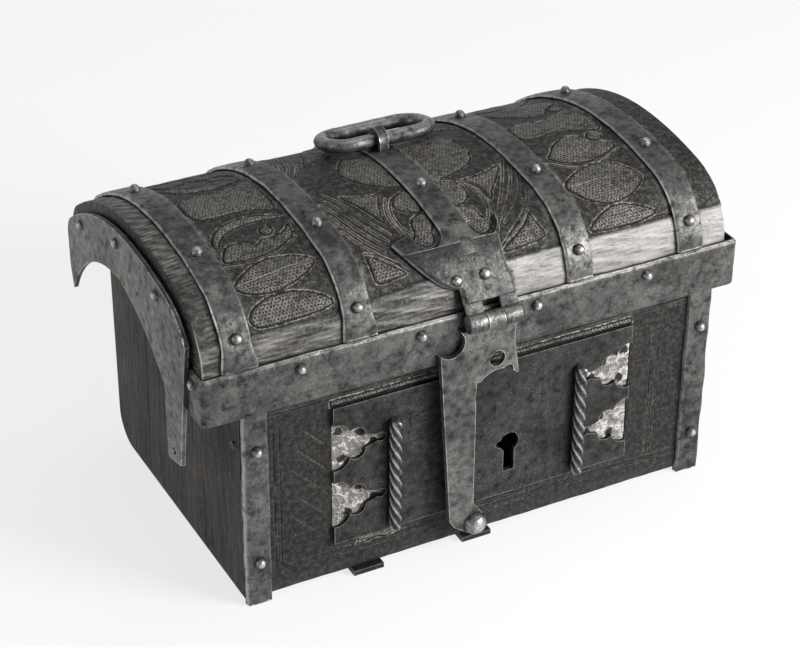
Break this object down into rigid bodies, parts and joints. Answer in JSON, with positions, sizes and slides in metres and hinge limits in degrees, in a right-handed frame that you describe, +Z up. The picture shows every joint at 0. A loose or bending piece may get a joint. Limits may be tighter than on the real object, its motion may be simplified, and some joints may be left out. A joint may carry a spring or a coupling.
{
  "type": "lockable casket",
  "caption": "Small wooden casket with a barrel lid on iron hinges, leather covering, iron bands, ring handle, and a hasp that closes over a pierced lock plate.",
  "frame": {"origin": "Middle of the body's footprint, on the surface that the casket stands on.", "axes": "X to the right along the front, Y from the front to the back, Z up."},
  "size_m": [0.2173, 0.1357, 0.1374],
  "materials": {
    "wood": "dark aged wood, matt, worn lighter at the edges",
    "leather": "dark tooled leather with a dull sheen",
    "iron": "wrought iron, dark and mottled, brighter on worn edges",
    "pale_backing": "pale crumpled skin behind the pierced iron"
  },
  "bodies": {
    "box": {"left_end_board": "wood", "right_end_board": "wood", "front_board": "wood", "back_board": "wood", "bottom_board": "wood", "board_nails": "iron", "corner_strip_left": "iron", "corner_strip_right": "iron", "strip_rivets": "iron", "tracery_backing_left": "pale_backing", "tracery_backing_right": "pale_backing", "front_leather": "leather", "lock_plate": "iron", "twisted_rod_left": "iron", "twisted_rod_right": "iron", "bolt_guide": "iron", "bolt_spring": "iron", "lock_cover": "iron", "hinge_strap_left": "iron", "hinge_strap_centre": "iron", "hinge_strap_right": "iron", "hinge_pins": "iron", "hinge_strap_rivets": "iron"},
    "lid": {"lid_shell": "wood", "lid_leather": "leather", "lid_band_far_left": "iron", "lid_band_left": "iron", "lid_band_centre": "iron", "lid_band_right": "iron", "lid_band_far_right": "iron", "lid_band_rivets": "iron", "rim_band": "iron", "rim_rivets": "iron", "gable_strap_left": "iron", "gable_strap_right": "iron", "gable_rivets": "iron", "handle_staple": "iron", "hasp_pin": "iron"},
    "hasp": {"hasp_plate": "iron", "hasp_staple": "iron", "hasp_knob": "iron"},
    "handle": {"ring_handle": "iron"},
    "bolt": {"lock_bolt": "iron"}
  },
  "joints": [
    {"name": "lid_hinge", "type": "hinge", "parent": "box", "child": "lid", "pos_m": [0, 0.0613, 0.09005], "axis": [-1, 0, 0], "range_deg": [0, 110]},
    {"name": "hasp_hinge", "type": "hinge", "parent": "lid", "child": "hasp", "pos_m": [-0.0029, -0.0678, 0.0977], "axis": [-1, 0, 0], "range_deg": [0, 140]},
    {"name": "handle_swing", "type": "hinge", "parent": "lid", "child": "handle", "pos_m": [-0.0075, 0.01, 0.13254], "axis": [1, 0, 0], "range_deg": [0, 180]},
    {"name": "bolt_slide", "type": "slide", "parent": "box", "child": "bolt", "axis": [-1, 0, 0], "range_m": [0, 0.009]}
  ]
}
